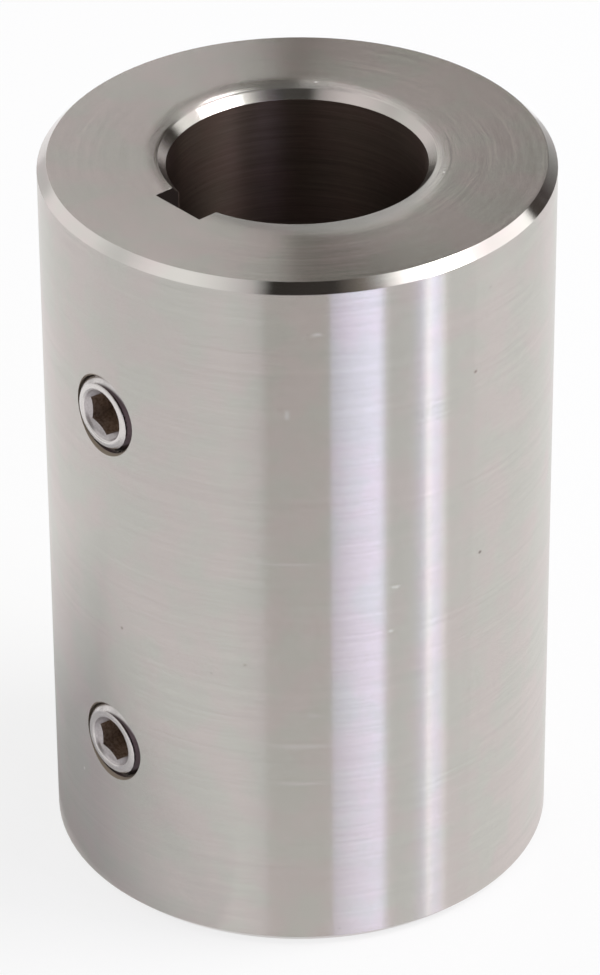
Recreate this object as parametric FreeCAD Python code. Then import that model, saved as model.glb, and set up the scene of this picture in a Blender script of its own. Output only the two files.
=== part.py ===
import FreeCAD, Part
import math
import os

# A plain round coupling sleeve with a keyway and two set screws standing in
# one line over it. Millimetres. The origin is the middle of the lower end
# face, +Z runs along the bore, and the keyway and both screws face -Y.

# Sleeve
BORE_D = 25.4            # shaft size
OUTER_D = 50.3
LENGTH = 76.2            # end face to end face
OUTER_CHAMFER = 0.92     # 45 degree chamfer on both outer corners
BORE_CHAMFER = 0.8       # 45 degree lead-in at both ends of the bore
KEY_WIDTH = 6.35         # keyway, side to side
KEY_SIDE_DEPTH = 2.95    # keyway depth, measured down its side from the bore

# Set screws
SCREW_D = 7.9375         # thread, crest to crest
SCREW_LENGTH = 7.9375    # socket end to cup point
SCREW_FROM_END = 19.05   # end face of the sleeve to the screw's axis
SCREW_PROUD = 0.2        # socket end beyond the sleeve's outermost line
THREAD_CLEARANCE = 0.05  # radial, between the screw and its hole
END_CHAMFER = 0.77       # 45 degree chamfer round the socket end
SOCKET_FLATS = 3.97      # hexagon, across flats
SOCKET_DEPTH = 3.2       # full hexagon, from the socket end
DRILL_ANGLE = 118.0      # point left by the drill at the bottom of the socket, degrees
RECESS_D = 5.3           # shallow recess round the socket, at the end face
RECESS_DEPTH = 0.4       # height of its steep side
RECESS_BASE_D = 5.0      # at the foot of its side
LEAD_IN_ANGLE = 64.0     # conical floor of the recess, measured from the screw's axis, degrees
CUP_D = 4.37             # rim of the cup, which is also the small end of the point
CUP_ANGLE = 59.0         # wall of the cup, measured from the screw's axis, degrees
UPPER_CLOCKING = 34.0    # how far each socket is turned, degrees
LOWER_CLOCKING = 38.8

# Screw hole mouth
MOUTH_D = 8.6            # 90 degree countersink, on the sleeve's outermost line

OVERCUT = 1.0            # how far cutters run past the faces they open

X_AXIS = FreeCAD.Vector(1, 0, 0)
Z_AXIS = FreeCAD.Vector(0, 0, 1)
OUTWARD = FreeCAD.Vector(0, -1, 0)


def keyway_floor():
    """Distance from the axis of the bore to the flat floor of the keyway."""
    side_start = math.sqrt((BORE_D / 2) ** 2 - (KEY_WIDTH / 2) ** 2)
    return side_start + KEY_SIDE_DEPTH


def turned(points):
    """Solid turned about Z from a closed profile of (radius, height) pairs."""
    corners = [FreeCAD.Vector(r, 0, z) for r, z in points]
    face = Part.Face(Part.makePolygon(corners + corners[:1]))
    return face.revolve(FreeCAD.Vector(), Z_AXIS, 360)


def facing_out(shape, height):
    """Lay a shape drawn along +Z so that it points out of the sleeve at this height."""
    shape.rotate(FreeCAD.Vector(), X_AXIS, 90)
    shape.translate(Z_AXIS * height)
    return shape


def sleeve_blank():
    """The turned and bored bar, chamfered inside and out at both ends."""
    bore = BORE_D / 2
    outer = OUTER_D / 2
    return turned([
        (bore, BORE_CHAMFER),
        (bore + BORE_CHAMFER, 0),
        (outer - OUTER_CHAMFER, 0),
        (outer, OUTER_CHAMFER),
        (outer, LENGTH - OUTER_CHAMFER),
        (outer - OUTER_CHAMFER, LENGTH),
        (bore + BORE_CHAMFER, LENGTH),
        (bore, LENGTH - BORE_CHAMFER),
    ])


def keyway_cutter():
    """The broached slot, square cornered and open at both ends."""
    return Part.makeBox(
        KEY_WIDTH, keyway_floor(), LENGTH + 2 * OVERCUT,
        FreeCAD.Vector(-KEY_WIDTH / 2, -keyway_floor(), -OVERCUT))


def screw_hole_cutter(height):
    """Hole from the bore out, with its countersunk mouth."""
    outer = OUTER_D / 2
    hole = SCREW_D / 2 + THREAD_CLEARANCE
    mouth = MOUTH_D / 2
    top = outer + OVERCUT
    cutter = turned([
        (0, 0),
        (hole, 0),
        (hole, outer - (mouth - hole)),
        (mouth + OVERCUT, top),
        (0, top),
    ])
    return facing_out(cutter, height)


def sleeve():
    body = sleeve_blank().cut(keyway_cutter())
    for height in (LENGTH - SCREW_FROM_END, SCREW_FROM_END):
        body = body.cut(screw_hole_cutter(height))
    return body.removeSplitter()


def screw_blank():
    """Plain screw on +Z, its socket end at z = 0 and its cup point below."""
    radius = SCREW_D / 2
    cup = CUP_D / 2
    cup_depth = cup / math.tan(math.radians(CUP_ANGLE))
    return turned([
        (0, 0),
        (radius - END_CHAMFER, 0),
        (radius, -END_CHAMFER),
        (radius, -SCREW_LENGTH + radius - cup),
        (cup, -SCREW_LENGTH),
        (0, -SCREW_LENGTH + cup_depth),
    ])


def socket_cutter(clocking):
    """Hexagon socket with a drilled bottom, in a recess whose conical floor scallops its flats."""
    corner = SOCKET_FLATS / 2 / math.cos(math.radians(30))
    angles = [math.radians(clocking + 60 * i) for i in range(6)]
    corners = [FreeCAD.Vector(corner * math.cos(a), corner * math.sin(a), -SOCKET_DEPTH) for a in angles]
    hexagon = Part.Face(Part.makePolygon(corners + corners[:1]))
    socket = hexagon.extrude(Z_AXIS * (SOCKET_DEPTH + OVERCUT))
    rim = RECESS_D / 2
    base = RECESS_BASE_D / 2
    recess = turned([
        (0, -RECESS_DEPTH - base / math.tan(math.radians(LEAD_IN_ANGLE))),
        (base, -RECESS_DEPTH),
        (rim, 0),
        (rim, OVERCUT),
        (0, OVERCUT),
    ])
    drill = SOCKET_FLATS / 2
    drill_tip = drill / math.tan(math.radians(DRILL_ANGLE / 2))
    bottom = turned([
        (0, -SOCKET_DEPTH - drill_tip),
        (drill, -SOCKET_DEPTH),
        (0, -SOCKET_DEPTH),
    ])
    return socket.fuse([recess, bottom])


def set_screw(height, clocking):
    screw = screw_blank().cut(socket_cutter(clocking))
    screw.translate(Z_AXIS * (OUTER_D / 2 + SCREW_PROUD))
    return facing_out(screw, height)


PARTS = {
    "sleeve": sleeve(),
    "upper_set_screw": set_screw(LENGTH - SCREW_FROM_END, UPPER_CLOCKING),
    "lower_set_screw": set_screw(SCREW_FROM_END, LOWER_CLOCKING),
}

os.makedirs("parts", exist_ok=True)
for name, shape in PARTS.items():
    shape.exportStep("parts/" + name + ".step")
    print(name, round(shape.Volume, 2), shape.isValid(), len(shape.Solids))
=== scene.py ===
import bpy
import math
from mathutils import Matrix, Vector


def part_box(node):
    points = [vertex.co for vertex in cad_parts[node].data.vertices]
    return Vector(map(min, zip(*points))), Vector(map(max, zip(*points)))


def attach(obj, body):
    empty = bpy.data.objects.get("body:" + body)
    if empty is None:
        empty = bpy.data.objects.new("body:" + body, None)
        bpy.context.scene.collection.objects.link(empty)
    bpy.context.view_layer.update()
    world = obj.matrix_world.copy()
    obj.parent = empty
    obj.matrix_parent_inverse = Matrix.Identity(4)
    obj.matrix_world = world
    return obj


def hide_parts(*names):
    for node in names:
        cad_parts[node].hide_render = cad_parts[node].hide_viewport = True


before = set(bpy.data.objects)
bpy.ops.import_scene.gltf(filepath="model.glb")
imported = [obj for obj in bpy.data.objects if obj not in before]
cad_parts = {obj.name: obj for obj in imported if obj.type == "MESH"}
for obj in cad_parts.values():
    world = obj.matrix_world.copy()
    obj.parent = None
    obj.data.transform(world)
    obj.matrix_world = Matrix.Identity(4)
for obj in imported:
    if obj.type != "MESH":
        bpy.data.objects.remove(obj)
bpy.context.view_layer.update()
print("frame loaded:", ", ".join(sorted(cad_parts)))

mm = 0.001
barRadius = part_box("sleeve")[1][0]      # outside of the sleeve
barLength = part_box("sleeve")[1][2]      # it stands on its lower end face
sharpCorner = 32                        # degrees, corners sharper than this aren't smoothed over
vectorA, vectorB, colourA, colourB = 4, 5, 6, 7     # inputs of a mix node, whose names repeat


def hexColour(code):
    # sRGB hex to the linear values that shaders take
    parts = [int(code[i:i + 2], 16) / 255 for i in (1, 3, 5)]
    linear = [c / 12.92 if c <= 0.04045 else ((c + 0.055) / 1.055) ** 2.4 for c in parts]
    return (*linear, 1.0)


def addNode(tree, kind, settings=None, links=None):
    # settings: an attribute, "stops" of a ramp, or an input, to its value
    # links: an input to another node's output, or to a node for its first output in use
    # a math node's inputs go by number: 0, 1 and 2 are what it works on, in that order
    node = tree.nodes.new(kind)
    for name, value in (settings or {}).items():
        if name == "stops":
            ramp = node.color_ramp.elements
            while len(ramp) < len(value):
                ramp.new(1.0)
            for stop, (place, colour) in zip(ramp, value):
                stop.position = place
                stop.color = colour
        elif isinstance(name, str) and hasattr(node, name):
            setattr(node, name, value)
        else:
            node.inputs[name].default_value = value
    for name, source in (links or {}).items():
        if isinstance(source, bpy.types.Node):
            source = next(output for output in source.outputs if output.enabled)
        tree.links.new(source, node.inputs[name])
    return node


def newMaterial(name):
    material = bpy.data.materials.new(name)
    material.use_nodes = True
    tree = material.node_tree
    tree.nodes.clear()
    return material, tree


def newMeshObject(name, vertices, faces):
    mesh = bpy.data.meshes.new(name)
    mesh.from_pydata(vertices, [], faces)
    mesh.update()
    mesh.shade_smooth()
    mesh.set_sharp_from_angle(angle=math.radians(sharpCorner))
    thing = bpy.data.objects.new(name, mesh)
    bpy.context.scene.collection.objects.link(thing)
    return thing


# Turned stainless steel bar. The lathe's feed leaves rings round it, each with its own
# flank, and they smear every reflection up and down into clear upright bands. The real
# rings are about 0.05 mm apart, too fine to show one by one, so here the flank changes
# at every height. The chamfers were cut last with a broad sharp tool and are near mirrors.
sleeveLook = {
    # zone: colour, roughness, middle lean of the flanks, their spread, strength of the tool marks
    "inside": ("#75655D", 0.42, 0.0, 0.50, 0.6),     # bored and broached, brown with old oil
    "wall": ("#D5D1CD", 0.13, 0.35, 0.50, 0.14),
    "face": ("#CFCAC6", 0.14, 0.0, 0.30, 0.22),
    "edge": ("#DCD7D4", 0.10, 0.0, 0.05, 0.0),       # chamfer of the outer corner
    "lip": ("#C4BFBB", 0.18, 0.0, 0.12, 0.0),        # chamfer of the bore, rubbed dull
    # mm from the axis to just beyond the bore's wall, its chamfer and the floor of the keyway
    "beyondBore": 12.8, "beyondLip": 14.0, "beyondSlot": 15.4,
    "chamferHeight": 1.0,      # mm at each end of the bar that hold the chamfers
    "toolMark": 0.45,          # mm between the broad tool marks; the noise's detail adds finer ones
    "faceFeed": 1.9,           # how much closer they lie on the end faces
    "markNoise": (0.3, 0.75), "markShades": (0.35, 1.15),    # the noise's range and its shades
    "markLean": 0.06,          # how far a tool mark leans the flanks
    "mottle": 5.0, "mottleTints": ("#FDF8F8", "#F8FAF7"),    # mm across, faint pinkish and greenish
    "pitSpacing": 6.0, "pitSize": 0.12, "pitShade": 0.35,    # mm, mm and how much darker
    # corner round the bore, rubbed down with emery cloth: mm from the axis where it starts and
    # ends, its lean, mm wider and narrower by turns, and degrees round from the keyway to where
    # it has its middle width
    "dishInner": 13.4, "dishOuter": 15.8, "dishLean": 0.42, "dishUneven": 0.8, "dishTurn": 111.9,
    "dishStreaks": 4.0,        # how strongly the cloth's streaks follow the tool marks
    "slotColour": "#3B3330",   # keyway, darker than the bore with the oil it holds
    "holeGrimeAndShade": "#8A7D6E", "holeMetal": 0.45,      # countersinks and tapped holes, grimy and painted darker for the shade in them
    "edgeRound": 0.06,         # mm, sharp corners are never quite sharp
    "brushed": 0.9,            # how much more a reflection is smeared across the rings than along
    # small marks where they show, one of them a painted highlight: place in mm, width and height in
    # mm, colour
    "wearMarksAndGlint": {
        "wallSpeckHigh": ((25.15, 0.12, 63.01), 0.55, 0.45, "#A2948F"),
        "wallSpeckLow": ((25.13, 1.06, 42.16), 0.50, 0.50, "#8F8480"),
        "wallSpeckLeft": ((1.99, -25.07, 33.57), 0.50, 0.40, "#A39B95"),
        "wallSpeckMiddle": ((14.81, -20.32, 33.50), 0.40, 0.40, "#B5ADA7"),
        "wallFleckLeft": ((-5.12, -24.62, 12.82), 0.45, 0.45, "#F0EDEA"),
        "wallFleckHigh": ((19.92, -15.36, 70.97), 1.30, 0.60, "#DDDAD7"),
        "wallFleckBelow": ((18.06, -17.50, 62.20), 0.70, 1.60, "#DBD8D5"),
        # painted highlight: a pale spot that stands in for a glint on the wall
        "wallPaintedGlint": ((23.63, -8.62, 41.67), 1.30, 0.55, "#E0DDDA"),
        "wallFleckLow": ((23.45, -9.09, 36.69), 0.70, 0.45, "#DFDCD9"),
        "scratchHigh": ((18.20, -17.36, 45.40), 9.0, 0.35, "#D4D0CC"),
        "scratchMiddle": ((19.60, -15.76, 27.80), 3.0, 0.70, "#D1CDC9"),
        "scratchLow": ((18.81, -16.70, 24.20), 8.0, 0.80, "#D5D1CD"),
        "scratchLowest": ((18.81, -16.70, 19.75), 6.5, 0.60, "#D4D0CC"),
        "faceFleckA": ((12.14, 14.74, 76.2), 0.20, 0.20, "#F4F1EE"),
        "faceFleckB": ((13.43, 13.79, 76.2), 0.20, 0.20, "#F4F1EE"),
        "boreNick": ((-9.78, 11.21, 76.2), 0.42, 0.42, "#F4F1EE"),
        "boreFleck": ((12.01, 8.14, 76.2), 0.26, 0.26, "#F4F1EE"),
    },
}


def makeSleeveSteel():
    look = sleeveLook
    material, tree = newMaterial("Turned stainless steel")
    where = addNode(tree, "ShaderNodeTexCoord")
    place, facing = where.outputs["Object"], where.outputs["Normal"]
    spot = addNode(tree, "ShaderNodeSeparateXYZ", links={0: place})
    facingParts = addNode(tree, "ShaderNodeSeparateXYZ", links={0: facing})
    level = addNode(tree, "ShaderNodeVectorMath", {"operation": "MULTIPLY", 1: (1, 1, 0)},
                    {0: place})
    radius = addNode(tree, "ShaderNodeVectorMath", {"operation": "LENGTH"}, {0: level})
    outward = addNode(tree, "ShaderNodeVectorMath", {"operation": "NORMALIZE"}, {0: level})

    # which zone: 0 inside, 1 wall, 2 end face, 3 chamfer, 4 chamfer of the bore
    zones = [look[zone] for zone in ("inside", "wall", "face", "edge", "lip")]
    lastZone = len(zones) - 1
    starts = [max(number / lastZone - 0.05, 0.0) for number in range(len(zones))]
    squareOn, slant, slantSpread = 0.9, 0.7, 0.2      # cosines of what counts as each
    facingOut = addNode(tree, "ShaderNodeVectorMath", {"operation": "DOT_PRODUCT"},
                        {0: facing, 1: outward})
    flatness = addNode(tree, "ShaderNodeMath", {"operation": "ABSOLUTE"},
                       {0: facingParts.outputs["Z"]})
    onWall = addNode(tree, "ShaderNodeMath", {"operation": "GREATER_THAN", 1: squareOn},
                     {0: facingOut})
    onFace = addNode(tree, "ShaderNodeMath", {"operation": "GREATER_THAN", 1: squareOn},
                     {0: flatness})
    slanted = addNode(tree, "ShaderNodeMath",
                      {"operation": "COMPARE", 1: slant, 2: slantSpread}, {0: flatness})
    midway = addNode(tree, "ShaderNodeMath",
                     {"operation": "COMPARE", 1: barLength / 2,
                      2: barLength / 2 - look["chamferHeight"] * mm}, {0: spot.outputs["Z"]})
    onEdge = addNode(tree, "ShaderNodeMath", {"operation": "GREATER_THAN"},
                     {0: slanted, 1: midway})
    faceOrWall = addNode(tree, "ShaderNodeMath", {"operation": "MULTIPLY_ADD", 1: 2.0},
                         {0: onFace, 2: onWall})
    edgeNumber = addNode(tree, "ShaderNodeMapRange",
                         {"From Min": look["beyondLip"] * mm,
                          "From Max": (look["beyondLip"] + 0.1) * mm,
                          "To Min": 4.0, "To Max": 3.0}, {"Value": radius})
    zoneNumber = addNode(tree, "ShaderNodeMath", {"operation": "MULTIPLY_ADD"},
                         {0: onEdge, 1: edgeNumber, 2: faceOrWall})
    zonePlace = addNode(tree, "ShaderNodeMath", {"operation": "DIVIDE", 1: lastZone},
                        {0: zoneNumber})
    zoneColours = [(start, hexColour(zone[0])) for start, zone in zip(starts, zones)]
    colours = addNode(tree, "ShaderNodeValToRGB", {"stops": zoneColours}, {0: zonePlace})
    colours.color_ramp.interpolation = "CONSTANT"
    zoneFinishes = [(start, zone[1:]) for start, zone in zip(starts, zones)]
    finish = addNode(tree, "ShaderNodeValToRGB", {"stops": zoneFinishes}, {0: zonePlace})
    finish.color_ramp.interpolation = "CONSTANT"
    finishParts = addNode(tree, "ShaderNodeSeparateColor", links={0: finish.outputs["Color"]})
    roughness, leanMiddle, leanSpread = finishParts.outputs
    markStrength = finish.outputs["Alpha"]

    # distance along the profile: height on the wall and radius on the faces
    profile = addNode(tree, "ShaderNodeMath", {"operation": "MULTIPLY_ADD", 1: look["faceFeed"]},
                      {0: radius, 2: spot.outputs["Z"]})
    flank = addNode(tree, "ShaderNodeTexWhiteNoise", {"noise_dimensions": "1D"}, {"W": profile})
    flankOff = addNode(tree, "ShaderNodeMath", {"operation": "SUBTRACT", 1: 0.5},
                       {0: flank.outputs["Value"]})

    # tool marks that do show: long round the bar, short along the profile
    around = addNode(tree, "ShaderNodeSeparateXYZ", links={0: outward})
    markRow = addNode(tree, "ShaderNodeMath", {"operation": "DIVIDE", 1: look["toolMark"] * mm},
                      {0: profile})
    markPlace = addNode(tree, "ShaderNodeCombineXYZ",
                        links={0: around.outputs["X"], 1: around.outputs["Y"], 2: markRow})
    marks = addNode(tree, "ShaderNodeTexNoise", {"Scale": 1.0, "Detail": 6.0, "Roughness": 0.8},
                    {"Vector": markPlace})
    markShade = addNode(tree, "ShaderNodeMapRange",
                        {"From Min": look["markNoise"][0], "From Max": look["markNoise"][1],
                         "To Min": look["markShades"][0], "To Max": look["markShades"][1]},
                        {"Value": marks})
    marked = addNode(tree, "ShaderNodeMix", {"data_type": "RGBA", "blend_type": "MULTIPLY"},
                     {"Factor": markStrength, colourA: colours, colourB: markShade})
    patches = addNode(tree, "ShaderNodeTexNoise",
                      {"Scale": 1 / (look["mottle"] * mm), "Detail": 2.0}, {"Vector": place})
    pinkish, greenish = (hexColour(tint) for tint in look["mottleTints"])
    tints = addNode(tree, "ShaderNodeValToRGB", {"stops": [(0.4, pinkish), (0.6, greenish)]},
                    {0: patches})
    mottled = addNode(tree, "ShaderNodeMix",
                      {"data_type": "RGBA", "blend_type": "MULTIPLY", "Factor": 1.0},
                      {colourA: marked, colourB: tints})
    pits = addNode(tree, "ShaderNodeTexVoronoi", {"Scale": 1 / (look["pitSpacing"] * mm)},
                   {"Vector": place})
    pitReach = look["pitSize"] / look["pitSpacing"]
    pitShade = addNode(tree, "ShaderNodeMapRange",
                       {"From Min": pitReach / 2, "From Max": pitReach,
                        "To Min": 1.0 - look["pitShade"], "To Max": 1.0}, {"Value": pits})
    pitted = addNode(tree, "ShaderNodeMix",
                     {"data_type": "RGBA", "blend_type": "MULTIPLY", "Factor": 1.0},
                     {colourA: mottled, colourB: pitShade})

    # keyway, and the tapped holes with their countersinks, which are turned round their own axes;
    # the holes get grime with painted shade
    hollow = addNode(tree, "ShaderNodeMath", {"operation": "LESS_THAN", 1: 0.5}, {0: zoneNumber})
    farOut = addNode(tree, "ShaderNodeMath",
                     {"operation": "LESS_THAN", 1: -look["beyondSlot"] * mm},
                     {0: spot.outputs["Y"]})
    inHole = addNode(tree, "ShaderNodeMath", {"operation": "MULTIPLY"}, {0: hollow, 1: farOut})
    offBore = addNode(tree, "ShaderNodeMath",
                      {"operation": "GREATER_THAN", 1: look["beyondBore"] * mm}, {0: radius})
    inSlot = addNode(tree, "ShaderNodeMath", {"operation": "MULTIPLY"}, {0: hollow, 1: offBore})
    slotted = addNode(tree, "ShaderNodeMix",
                      {"data_type": "RGBA", colourB: hexColour(look["slotColour"])},
                      {"Factor": inSlot, colourA: pitted})
    # grime with painted shade in the tapped holes and countersinks
    colour = addNode(tree, "ShaderNodeMix",
                     {"data_type": "RGBA", colourB: hexColour(look["holeGrimeAndShade"])},
                     {"Factor": inHole, colourA: slotted})
    metal = addNode(tree, "ShaderNodeMapRange", {"To Min": 1.0, "To Max": look["holeMetal"]},
                    {"Value": inHole})
    aroundBack = addNode(tree, "ShaderNodeMath", {"operation": "MULTIPLY", 1: -1.0},
                         {0: around.outputs["Y"]})
    roundBar = addNode(tree, "ShaderNodeCombineXYZ", links={0: aroundBack, 1: around.outputs["X"]})
    roundHole = addNode(tree, "ShaderNodeVectorMath",
                        {"operation": "CROSS_PRODUCT", 1: (0, 1, 0)}, {0: facing})
    turning = addNode(tree, "ShaderNodeMix", {"data_type": "VECTOR"},
                      {"Factor": inHole, vectorA: roundBar, vectorB: roundHole})
    for middle, width, height, tone in look["wearMarksAndGlint"].values():
        reach = (width / 2, width / 2, height / 2)
        near = addNode(tree, "ShaderNodeVectorMath",
                       {"operation": "MULTIPLY_ADD", 1: [1 / (size * mm) for size in reach],
                        2: [-c / size for c, size in zip(middle, reach)]}, {0: place})
        away = addNode(tree, "ShaderNodeVectorMath", {"operation": "LENGTH"}, {0: near})
        spotted = addNode(tree, "ShaderNodeMapRange",
                          {"From Min": 0.2, "From Max": 1.0, "To Min": 1.0, "To Max": 0.0},
                          {"Value": away})
        colour = addNode(tree, "ShaderNodeMix", {"data_type": "RGBA", colourB: hexColour(tone)},
                         {"Factor": spotted, colourA: colour})

    # the flank's lean along the profile
    markOff = addNode(tree, "ShaderNodeMath", {"operation": "SUBTRACT", 1: 0.5}, {0: marks})
    markLean = addNode(tree, "ShaderNodeMath",
                       {"operation": "MULTIPLY_ADD", 1: look["markLean"]},
                       {0: markOff, 2: leanMiddle})
    lean = addNode(tree, "ShaderNodeMath", {"operation": "MULTIPLY_ADD"},
                   {0: flankOff, 1: leanSpread, 2: markLean})
    along = addNode(tree, "ShaderNodeVectorMath", {"operation": "CROSS_PRODUCT"},
                    {0: facing, 1: turning})
    alongLean = addNode(tree, "ShaderNodeVectorMath", {"operation": "SCALE"},
                        {0: along, "Scale": lean})

    # the rubbed ring's lean towards the bore
    turn = math.radians(look["dishTurn"])
    ahead = addNode(tree, "ShaderNodeVectorMath",
                    {"operation": "DOT_PRODUCT", 1: (math.sin(turn), -math.cos(turn), 0)},
                    {0: outward})
    aside = addNode(tree, "ShaderNodeVectorMath",
                    {"operation": "DOT_PRODUCT", 1: (math.cos(turn), math.sin(turn), 0)},
                    {0: outward})
    aheadUneven = addNode(tree, "ShaderNodeMath",
                          {"operation": "MULTIPLY", 1: 2 * look["dishUneven"] * mm}, {0: ahead})
    dishRadius = addNode(tree, "ShaderNodeMath", {"operation": "MULTIPLY_ADD"},
                         {0: aheadUneven, 1: aside, 2: radius})
    dish = addNode(tree, "ShaderNodeMapRange",
                   {"From Min": look["dishInner"] * mm, "From Max": look["dishOuter"] * mm,
                    "To Min": math.sqrt(look["dishLean"]), "To Max": 0.0}, {"Value": dishRadius})
    dishCurve = addNode(tree, "ShaderNodeMath", {"operation": "MULTIPLY"}, {0: dish, 1: dish})
    rubbed = addNode(tree, "ShaderNodeMath",
                     {"operation": "MULTIPLY_ADD", 1: look["dishStreaks"], 2: 0.5}, {0: markOff})
    streaked = addNode(tree, "ShaderNodeMath", {"operation": "ADD"},
                       {0: rubbed, 1: flank.outputs["Value"]})
    dishStreaks = addNode(tree, "ShaderNodeMath", {"operation": "MULTIPLY"},
                          {0: dishCurve, 1: streaked})
    inward = addNode(tree, "ShaderNodeMath", {"operation": "MULTIPLY", 1: -1.0}, {0: onFace})
    dishHere = addNode(tree, "ShaderNodeMath", {"operation": "MULTIPLY"},
                       {0: dishStreaks, 1: inward})
    dishLean = addNode(tree, "ShaderNodeVectorMath", {"operation": "SCALE"},
                       {0: outward, "Scale": dishHere})

    rounded = addNode(tree, "ShaderNodeBevel", {"samples": 4, "Radius": look["edgeRound"] * mm})
    leant = addNode(tree, "ShaderNodeVectorMath", {"operation": "ADD"}, {0: alongLean, 1: dishLean})
    toWorld = {"vector_type": "VECTOR", "convert_from": "OBJECT", "convert_to": "WORLD"}
    leantWorld = addNode(tree, "ShaderNodeVectorTransform", toWorld, {0: leant})
    tilted = addNode(tree, "ShaderNodeVectorMath", {"operation": "ADD"},
                     {0: rounded, 1: leantWorld})
    normal = addNode(tree, "ShaderNodeVectorMath", {"operation": "NORMALIZE"}, {0: tilted})
    turned = addNode(tree, "ShaderNodeVectorTransform", toWorld, {0: turning})
    steel = addNode(tree, "ShaderNodeBsdfPrincipled",
                    {"Anisotropic": look["brushed"], "Anisotropic Rotation": 0.25},
                    {"Base Color": colour, "Metallic": metal, "Roughness": roughness,
                     "Normal": normal, "Tangent": turned})
    addNode(tree, "ShaderNodeOutputMaterial", links={"Surface": steel})
    return material


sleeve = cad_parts["sleeve"]
sleeve.data.materials.clear()
sleeve.data.materials.append(makeSleeveSteel())
print("sleeve dressed")


# Set screws, 5/16 in with 24 threads an inch, their cup points towards the bore.
# Each thread runs out through the chamfer, which leaves a groove that opens clockwise.
setScrew = {
    # mm, with every depth measured into the screw from its socket end
    "radius": 3.96875, "length": 7.9375, "proud": 0.2,
    "flat": 3.2,             # outside of the flat ring; a 45 degree chamfer runs on from it
    # radius and depth, up the wall of the recess and over the flat ring, with rounded corners
    "end": ((2.45, 0.40), (2.52, 0.34), (2.62, 0.12), (2.69, 0.05), (2.79, 0.01), (2.89, 0.0),
            (3.02, 0.015), (3.16, 0.055)),
    "facedPoints": 6,        # how many of these, from the last, lie on the faced ring
    "recessBase": 2.5, "recessDepth": 0.4, "leadIn": 64.0,     # its conical floor, in degrees
    "flats": 3.97, "socketDepth": 3.2, "drillAngle": 118.0,
    "scallopBelow": 0.03, "scallopBeyond": 0.04,     # rounding where the flats meet that floor
    "footShare": 0.97, "footRound": 0.06,            # and where they meet the socket's bottom
    "pitch": 1.0583, "threadDepth": 0.65, "threadAngle": 60.0,
    "halfGroove": 0.4375,    # of the pitch: half of what the crest's flat leaves of it
    "runOut": {"upper": 130.0, "lower": 125.0},      # where the groove starts, degrees round
    "clocking": {"upper": 34.0, "lower": 38.8},
    "cup": 2.185, "cupAngle": 59.0, "cupRound": ((0.05, 0.0), (0.15, 0.05)),
    "tip": 0.001,            # radius of the smallest ring, which closes a point
    # steps round the screw, and rows down it: the first ones are fine, for the run-out
    "around": 180, "rows": 150, "fineRows": 60,
    "fineStart": 0.09, "fineStep": 0.025, "endGap": 0.01,
    # Stainless steel, bright where it is faced, grey in the forged recess, brown with oil in
    # the broached socket, and painted shade in the roots of the rolled thread. Grain and bump in mm
    "steels": {
        "Faced stainless steel": {
            "light": "#DEDAD7", "dark": "#D8D3D0", "roughness": 0.22, "metallic": 1.0,
            "grain": 0.15, "bump": 0.004},
        "Broached stainless steel": {
            "light": "#B09F91", "dark": "#877569", "roughness": 0.40, "metallic": 0.8,
            "grain": 0.30, "bump": 0.02},
        "Forged stainless steel": {
            "light": "#BDB7B7", "dark": "#AFA9A9", "roughness": 0.30, "metallic": 1.0,
            "grain": 0.20, "bump": 0.008},
        "Rolled stainless steel": {
            "light": "#DAD5D3", "dark": "#CFCAC8", "roughness": 0.24, "metallic": 1.0,
            "grain": 0.20, "bump": 0.006,
            # painted shade in the thread's roots: its colour, and the mm of cut over which it comes
            # in
            "rootShade": "#54484B", "rootShadeFrom": 0.01, "rootShadeTo": 0.09},     # mm of cut, from none to full
    },
    "roughnessSpread": 0.05,
}


def screwPoint(angle, depth, radius, height):
    # depth runs into the sleeve from the screw's socket end, which faces -Y
    out = barRadius + (setScrew["proud"] - depth) * mm
    return (radius * mm * math.cos(angle), -out, height + radius * mm * math.sin(angle))


def threadRadius(angle, depth, start):
    # radius of the thread, and that of the blank with its chamfer and point
    s = setScrew
    turns = depth / s["pitch"] + (math.degrees(angle) - start) / 360
    fromRoot = abs((turns + 0.5) % 1.0 - 0.5) * s["pitch"]
    fromFlank = max(s["halfGroove"] * s["pitch"] - fromRoot, 0.0)
    cut = fromFlank * math.tan(math.radians(s["threadAngle"]))
    thread = s["radius"] - min(cut, s["threadDepth"])
    blank = min(s["flat"] + depth, s["radius"], s["cup"] + s["length"] - depth)
    return thread, blank


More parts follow.
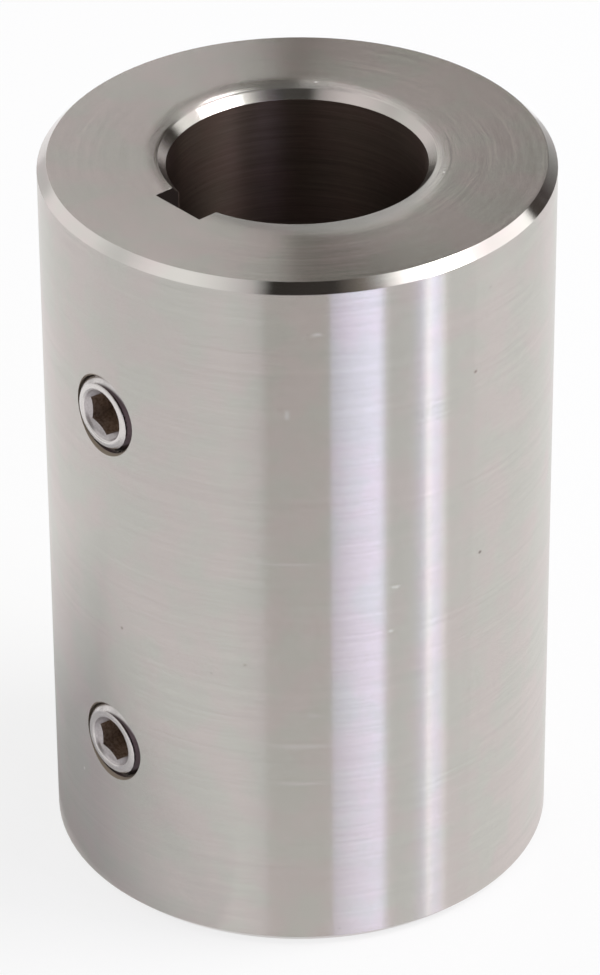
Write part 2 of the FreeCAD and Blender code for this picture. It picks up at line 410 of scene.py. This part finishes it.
def makeSetScrew(which, height, materials):
    s = setScrew
    count = s["around"]
    turn = math.radians(s["clocking"][which])
    angles = [turn + 2 * math.pi * i / count for i in range(count)]
    sixth = math.pi / 3
    flatsRadius = [s["flats"] / 2 / math.cos((a - turn) % sixth - sixth / 2) for a in angles]
    slope = math.tan(math.radians(s["leadIn"]))
    drillTip = s["flats"] / 2 / math.tan(math.radians(s["drillAngle"] / 2))
    floor = [s["recessDepth"] + (s["recessBase"] - r) / slope for r in flatsRadius]
    below, beyond = s["scallopBelow"], s["scallopBeyond"]
    rings = [
        [(s["tip"], s["socketDepth"] + drillTip)] * count,
        [(r * s["footShare"], s["socketDepth"]) for r in flatsRadius],
        [(r, s["socketDepth"] - s["footRound"]) for r in flatsRadius],
        [(r, depth + below) for r, depth in zip(flatsRadius, floor)],
        [(r + beyond, depth - beyond / slope) for r, depth in zip(flatsRadius, floor)],
    ]
    recessRow = len(rings) - 2
    rings += [[point] * count for point in s["end"]]
    threadRow = len(rings)
    facedRow = threadRow - s["facedPoints"]

    fineEnd = s["fineStart"] + s["fineStep"] * (s["fineRows"] - 1)
    coarseRows = s["rows"] - s["fineRows"]
    coarseStep = (s["length"] - s["endGap"] - fineEnd) / coarseRows
    depths = [s["fineStart"] + s["fineStep"] * row for row in range(s["fineRows"])]
    depths += [fineEnd + coarseStep * (row + 1) for row in range(coarseRows)]
    cuts = [0.0] * (len(rings) * count)
    for depth in depths:
        sizes = [threadRadius(a, depth, s["runOut"][which]) for a in angles]
        rings.append([(min(size), depth) for size in sizes])
        cuts += [max(blank - thread, 0.0) for thread, blank in sizes]
    cupDepth = s["cup"] / math.tan(math.radians(s["cupAngle"]))
    rings += [[(s["cup"] - inside, s["length"] - up)] * count for inside, up in s["cupRound"]]
    rings.append([(s["tip"], s["length"] - cupDepth)] * count)
    cuts += [0.0] * (len(rings) * count - len(cuts))

    vertices = [screwPoint(a, depth, radius, height)
                for ring in rings for a, (radius, depth) in zip(angles, ring)]
    faced, broached, forged, rolled = range(len(materials))
    faces, slots = [], []
    for i in range(len(rings) - 1):
        steel = (broached if i < recessRow else forged if i < facedRow
                 else faced if i < threadRow else rolled)
        for j in range(count):
            k = (j + 1) % count
            faces.append((i * count + j, i * count + k, (i + 1) * count + k, (i + 1) * count + j))
            slots.append(steel)
    screw = newMeshObject(which + "SetScrew", vertices, faces)
    for material in materials:
        screw.data.materials.append(material)
    screw.data.polygons.foreach_set("material_index", slots)
    screw.data.attributes.new("cutDepth", "FLOAT", "POINT").data.foreach_set("value", cuts)
    return screw


def makeScrewSteel(name, look):
    material, tree = newMaterial(name)
    where = addNode(tree, "ShaderNodeTexCoord")
    grain = addNode(tree, "ShaderNodeTexNoise",
                    {"Scale": 1 / (look["grain"] * mm), "Detail": 3.0},
                    {"Vector": where.outputs["Object"]})
    tones = addNode(tree, "ShaderNodeValToRGB",
                    {"stops": [(0.35, hexColour(look["dark"])), (0.65, hexColour(look["light"]))]},
                    {0: grain})
    if "rootShade" in look:
        # painted shade: darker where the thread is cut deep below the blank, in the roots where
        # shade falls
        cut = addNode(tree, "ShaderNodeAttribute", {"attribute_name": "cutDepth"})
        rootShaded = addNode(tree, "ShaderNodeMapRange",
                        {"From Min": look["rootShadeFrom"], "From Max": look["rootShadeTo"]},
                        {"Value": cut.outputs["Fac"]})
        tones = addNode(tree, "ShaderNodeMix",
                        {"data_type": "RGBA", colourB: hexColour(look["rootShade"])},
                        {"Factor": rootShaded, colourA: tones})
    spread = setScrew["roughnessSpread"]
    worn = addNode(tree, "ShaderNodeMapRange",
                   {"To Min": look["roughness"] - spread, "To Max": look["roughness"] + spread},
                   {"Value": grain})
    bump = addNode(tree, "ShaderNodeBump", {"Strength": 0.2, "Distance": look["bump"] * mm},
                   {"Height": grain})
    steel = addNode(tree, "ShaderNodeBsdfPrincipled", {"Metallic": look["metallic"]},
                    {"Base Color": tones, "Roughness": worn, "Normal": bump})
    addNode(tree, "ShaderNodeOutputMaterial", links={"Surface": steel})
    return material


screwSteels = [makeScrewSteel(name, look) for name, look in setScrew["steels"].items()]
for which in ("upper", "lower"):
    low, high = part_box(which + "_set_screw")
    screw = makeSetScrew(which, (low[2] + high[2]) / 2, screwSteels)
    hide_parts(which + "_set_screw")
    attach(screw, which + "_screw")
print("set screws made")


studio = {
    "floorColour": "#F6F6F6",
    "floorReach": 1.5,           # m from its middle to each side
    "floorSeen": 0.75,           # share of plain white that the eye sees in the floor
    "floorMirrored": 0.50,       # and that the metal sees in it
    "horizon": "#D2D2D2",        # plain pale wall all round
    "overhead": 0.25,            # brightness of the ceiling
    "fullWhite": 3.4,            # the brightest card
    # degrees up over which the wall gives way to the low cards, these to the high cards, and
    # these to the ceiling
    "wallTop": (9, 13), "lowCardsTop": (36, 46), "highCardsTop": (65, 72),
    "lampBearing": 90, "lampHeight": 54, "lampDistance": 1.2, "lampWatts": 5,
    "lampWidth": 0.5, "lampDepth": 0.4,
    "cameraTurn": 48.42,         # degrees round the part from the screws
    "cameraDistance": 458.79, "cameraHeight": 330.59,      # mm
    "cameraTilt": 57.488, "cameraPan": -0.00804, "cameraRoll": -0.36402,
    "lens": 200.605,
    # White cards stood round the table: degrees to the right of the camera as the part sees
    # them, brightness and tint. The camera stands in the dark gap, and another gap is behind
    # the part.
    "tints": {"plain": "#FFFFFF", "cool": "#DFDFFF", "warm": "#FFF3E6"},
    "lowCards": [
        (-179.6, 0.20, "warm"), (-179.0, 1.05, "plain"), (-165, 0.85, "plain"),
        (-150, 1.00, "plain"), (-105, 0.92, "plain"), (-90, 0.62, "plain"), (-30, 0.76, "plain"),
        (-24, 0.69, "plain"), (-17.5, 0.58, "plain"), (-16, 0.50, "plain"), (-13.4, 0.28, "warm"),
        (12.8, 0.30, "warm"), (13.8, 0.95, "cool"), (23.4, 1.95, "cool"), (33.6, 2.75, "cool"),
        (35, 2.35, "cool"), (37.8, 0.75, "plain"), (40, 0.50, "plain"), (48.5, 0.55, "plain"),
        (52.5, 1.00, "cool"), (54.8, 2.00, "cool"), (56, 3.30, "plain"), (58.5, 3.35, "cool"),
        (61.5, 2.80, "cool"), (64, 1.80, "plain"), (66, 0.70, "plain"), (78, 0.76, "plain"),
        (98, 1.30, "plain"), (120, 1.55, "plain"), (122, 0.06, "warm"), (165, 0.05, "warm"),
        (175, 0.18, "warm"),
    ],
    "highCards": [
        (-179.6, 0.05, "warm"), (-178.5, 0.80, "plain"), (-165, 1.10, "plain"),
        (-150, 0.75, "plain"), (-105, 1.00, "plain"), (-60, 1.02, "plain"), (-45, 0.86, "plain"),
        (-27, 0.58, "plain"), (-16, 0.03, "warm"), (22, 0.04, "warm"), (30, 0.12, "warm"),
        (39, 0.22, "warm"), (47, 0.45, "plain"), (54, 1.15, "plain"), (60, 1.70, "plain"),
        (95, 2.30, "plain"), (115, 1.50, "plain"), (125, 0.95, "plain"), (155, 1.30, "plain"),
        (164, 0.20, "warm"), (176, 0.05, "warm"),
    ],
    # Low paper cards that only the metal sees, as painted reflections: colours at its low and its
    # high end, the heights of these, how much it glows rather than being lit, and at each bearing
    # the distance and height of its rows, all in mm
    "paperCards": {
        "shadowGreyCard": {            # a painted shadow: lies on the table on the left, bent up at its far edge, where the metal sees the table darker
            "colours": ("#E6E6E6", "#E6E6E6"), "heights": (0, 25), "glowShare": 0.0,
            "columns": [(-143, ((27, 0.3), (65, 0.3), (65, 0.3))),
                        (-79, ((27, 0.3), (65, 0.3), (65, 24.7))),
                        (-22, ((27, 0.3), (65, 0.3), (65, 0.3)))]},
        "glowingReflectionCard": {            # a painted reflection: hangs behind on the right and glows, pale below and dark above, where it darkens the rim
            "colours": ("#DCDCDC", "#3E3A38"), "heights": (38, 98), "glowShare": 1.0,
            "columns": [(119, ((110, 86), (110, 114))), (157, ((110, 29), (110, 57)))]},
    },
    "paperStep": 3,              # degrees between the columns of a bent card's mesh
}


def makeFloor():
    reach = studio["floorReach"]
    floor = newMeshObject("floor", [(-reach, -reach, 0), (reach, -reach, 0), (reach, reach, 0),
                                    (-reach, reach, 0)], [(0, 1, 2, 3)])
    material, tree = newMaterial("Matt white card")
    card = addNode(tree, "ShaderNodeBsdfDiffuse", {"Color": hexColour(studio["floorColour"])})
    glow = addNode(tree, "ShaderNodeEmission", {"Color": hexColour("#FFFFFF"), "Strength": 1.0})
    path = addNode(tree, "ShaderNodeLightPath")
    mirrored = addNode(tree, "ShaderNodeMath", {"operation": "MAXIMUM"},
                       {0: path.outputs["Is Glossy Ray"], 1: path.outputs["Is Transmission Ray"]})
    inMetal = addNode(tree, "ShaderNodeMath",
                      {"operation": "MULTIPLY", 1: studio["floorMirrored"]}, {0: mirrored})
    share = addNode(tree, "ShaderNodeMath", {"operation": "MULTIPLY_ADD", 1: studio["floorSeen"]},
                    {0: path.outputs["Is Camera Ray"], 2: inMetal})
    blend = addNode(tree, "ShaderNodeMixShader", links={0: share, 1: card, 2: glow})
    addNode(tree, "ShaderNodeOutputMaterial", links={"Surface": blend})
    floor.data.materials.append(material)


def cardStops(cards):
    stops = []
    for bearing, level, tint in cards:
        shares = [c * level / studio["fullWhite"] for c in hexColour(studio["tints"][tint])[:3]]
        stops.append(((bearing + 180) / 360, shares + [1.0]))
    return stops


def makeWorld():
    world = bpy.data.worlds.new("studio")
    world.use_nodes = True
    tree = world.node_tree
    tree.nodes.clear()
    where = addNode(tree, "ShaderNodeTexCoord")
    way = where.outputs["Generated"]
    heights = addNode(tree, "ShaderNodeSeparateXYZ", links={0: way})
    faced = addNode(tree, "ShaderNodeMapping",
                    {"Rotation": (0, 0, math.radians(90 - studio["cameraTurn"]))}, {"Vector": way})
    bearing = addNode(tree, "ShaderNodeTexGradient", {"gradient_type": "RADIAL"}, {"Vector": faced})
    low = addNode(tree, "ShaderNodeValToRGB", {"stops": cardStops(studio["lowCards"])},
                  {0: bearing.outputs["Fac"]})
    high = addNode(tree, "ShaderNodeValToRGB", {"stops": cardStops(studio["highCards"])},
                   {0: bearing.outputs["Fac"]})
    climbs = {}
    for edge in ("lowCardsTop", "highCardsTop", "wallTop"):
        start, end = (math.sin(math.radians(angle)) for angle in studio[edge])
        climbs[edge] = addNode(tree, "ShaderNodeMapRange", {"From Min": start, "From Max": end},
                               {"Value": heights.outputs["Z"]})
    cards = addNode(tree, "ShaderNodeMix", {"data_type": "RGBA"},
                    {"Factor": climbs["lowCardsTop"], colourA: low, colourB: high})
    ceiling = [studio["overhead"] / studio["fullWhite"]] * 3 + [1.0]
    roofed = addNode(tree, "ShaderNodeMix", {"data_type": "RGBA", colourB: ceiling},
                     {"Factor": climbs["highCardsTop"], colourA: cards})
    wall = addNode(tree, "ShaderNodeBackground",
                   {"Color": hexColour(studio["horizon"]), "Strength": 1.0})
    above = addNode(tree, "ShaderNodeBackground", {"Strength": studio["fullWhite"]},
                    {"Color": roofed})
    both = addNode(tree, "ShaderNodeMixShader", links={0: climbs["wallTop"], 1: wall, 2: above})
    addNode(tree, "ShaderNodeOutputWorld", links={"Surface": both})
    bpy.context.scene.world = world


def makePaperCard(name, look):
    lines = []
    columns = look["columns"]
    for (start, first), (end, last) in zip(columns, columns[1:]):
        steps = round((end - start) / studio["paperStep"])
        for i in range(steps + 1):
            bearing = math.radians(studio["cameraTurn"] + start + (end - start) * i / steps)
            pairs = [[p + (q - p) * i / steps for p, q in zip(*ends)] for ends in zip(first, last)]
            lines.append([(math.sin(bearing) * far * mm, -math.cos(bearing) * far * mm, up * mm)
                          for far, up in pairs])
    rows = len(columns[0][1])
    faces = [(i * rows + r, i * rows + r + 1, (i + 1) * rows + r + 1, (i + 1) * rows + r)
             for i in range(len(lines) - 1) for r in range(rows - 1)]
    card = newMeshObject(name, [point for line in lines for point in line], faces)
    material, tree = newMaterial("Paper of " + name)
    where = addNode(tree, "ShaderNodeTexCoord")
    spot = addNode(tree, "ShaderNodeSeparateXYZ", links={0: where.outputs["Object"]})
    low, high = look["heights"]
    climb = addNode(tree, "ShaderNodeMapRange", {"From Min": low * mm, "From Max": high * mm},
                    {"Value": spot.outputs["Z"]})
    lowColour, highColour = (hexColour(code) for code in look["colours"])
    paint = addNode(tree, "ShaderNodeMix",
                    {"data_type": "RGBA", colourA: lowColour, colourB: highColour},
                    {"Factor": climb})
    paper = addNode(tree, "ShaderNodeBsdfDiffuse", links={"Color": paint})
    glow = addNode(tree, "ShaderNodeEmission", links={"Color": paint})
    blend = addNode(tree, "ShaderNodeMixShader", {0: look["glowShare"]}, {1: paper, 2: glow})
    addNode(tree, "ShaderNodeOutputMaterial", links={"Surface": blend})
    card.data.materials.append(material)
    # only the metal sees the cards: painted reflections that light nothing and cast no shadow
    card.visible_camera = card.visible_diffuse = card.visible_shadow = False


def makeLamp():
    # soft box high on the right, which lays the part's soft shadow to the left
    s = studio
    data = bpy.data.lights.new("softBox", "AREA")
    data.shape = "RECTANGLE"
    data.size, data.size_y = s["lampWidth"], s["lampDepth"]
    data.energy = s["lampWatts"]
    lamp = bpy.data.objects.new("softBox", data)
    bpy.context.scene.collection.objects.link(lamp)
    bearing = math.radians(s["cameraTurn"] + s["lampBearing"])
    height = math.radians(s["lampHeight"])
    away = Vector((math.sin(bearing) * math.cos(height), -math.cos(bearing) * math.cos(height),
                   math.sin(height)))
    lamp.location = away * s["lampDistance"]
    lamp.rotation_euler = away.to_track_quat("Z", "Y").to_euler()


def makeCamera():
    s = studio
    data = bpy.data.cameras.new("camera")
    data.lens = s["lens"]
    data.sensor_width = 36
    data.clip_start = 0.01
    camera = bpy.data.objects.new("camera", data)
    bpy.context.scene.collection.objects.link(camera)
    turn, tilt, pan, roll = (math.radians(s[angle]) for angle in
                             ("cameraTurn", "cameraTilt", "cameraPan", "cameraRoll"))
    facing = (Matrix.Rotation(turn + pan, 4, "Z") @ Matrix.Rotation(tilt, 4, "X")
              @ Matrix.Rotation(roll, 4, "Z"))
    distance, height = s["cameraDistance"] * mm, s["cameraHeight"] * mm
    spot = Vector((math.sin(turn) * distance, -math.cos(turn) * distance, height))
    camera.matrix_world = Matrix.Translation(spot) @ facing
    bpy.context.scene.camera = camera


makeFloor()
for name, look in studio["paperCards"].items():
    makePaperCard(name, look)
makeWorld()
makeLamp()
makeCamera()
bpy.context.scene.view_settings.view_transform = "Standard"
print("studio ready")
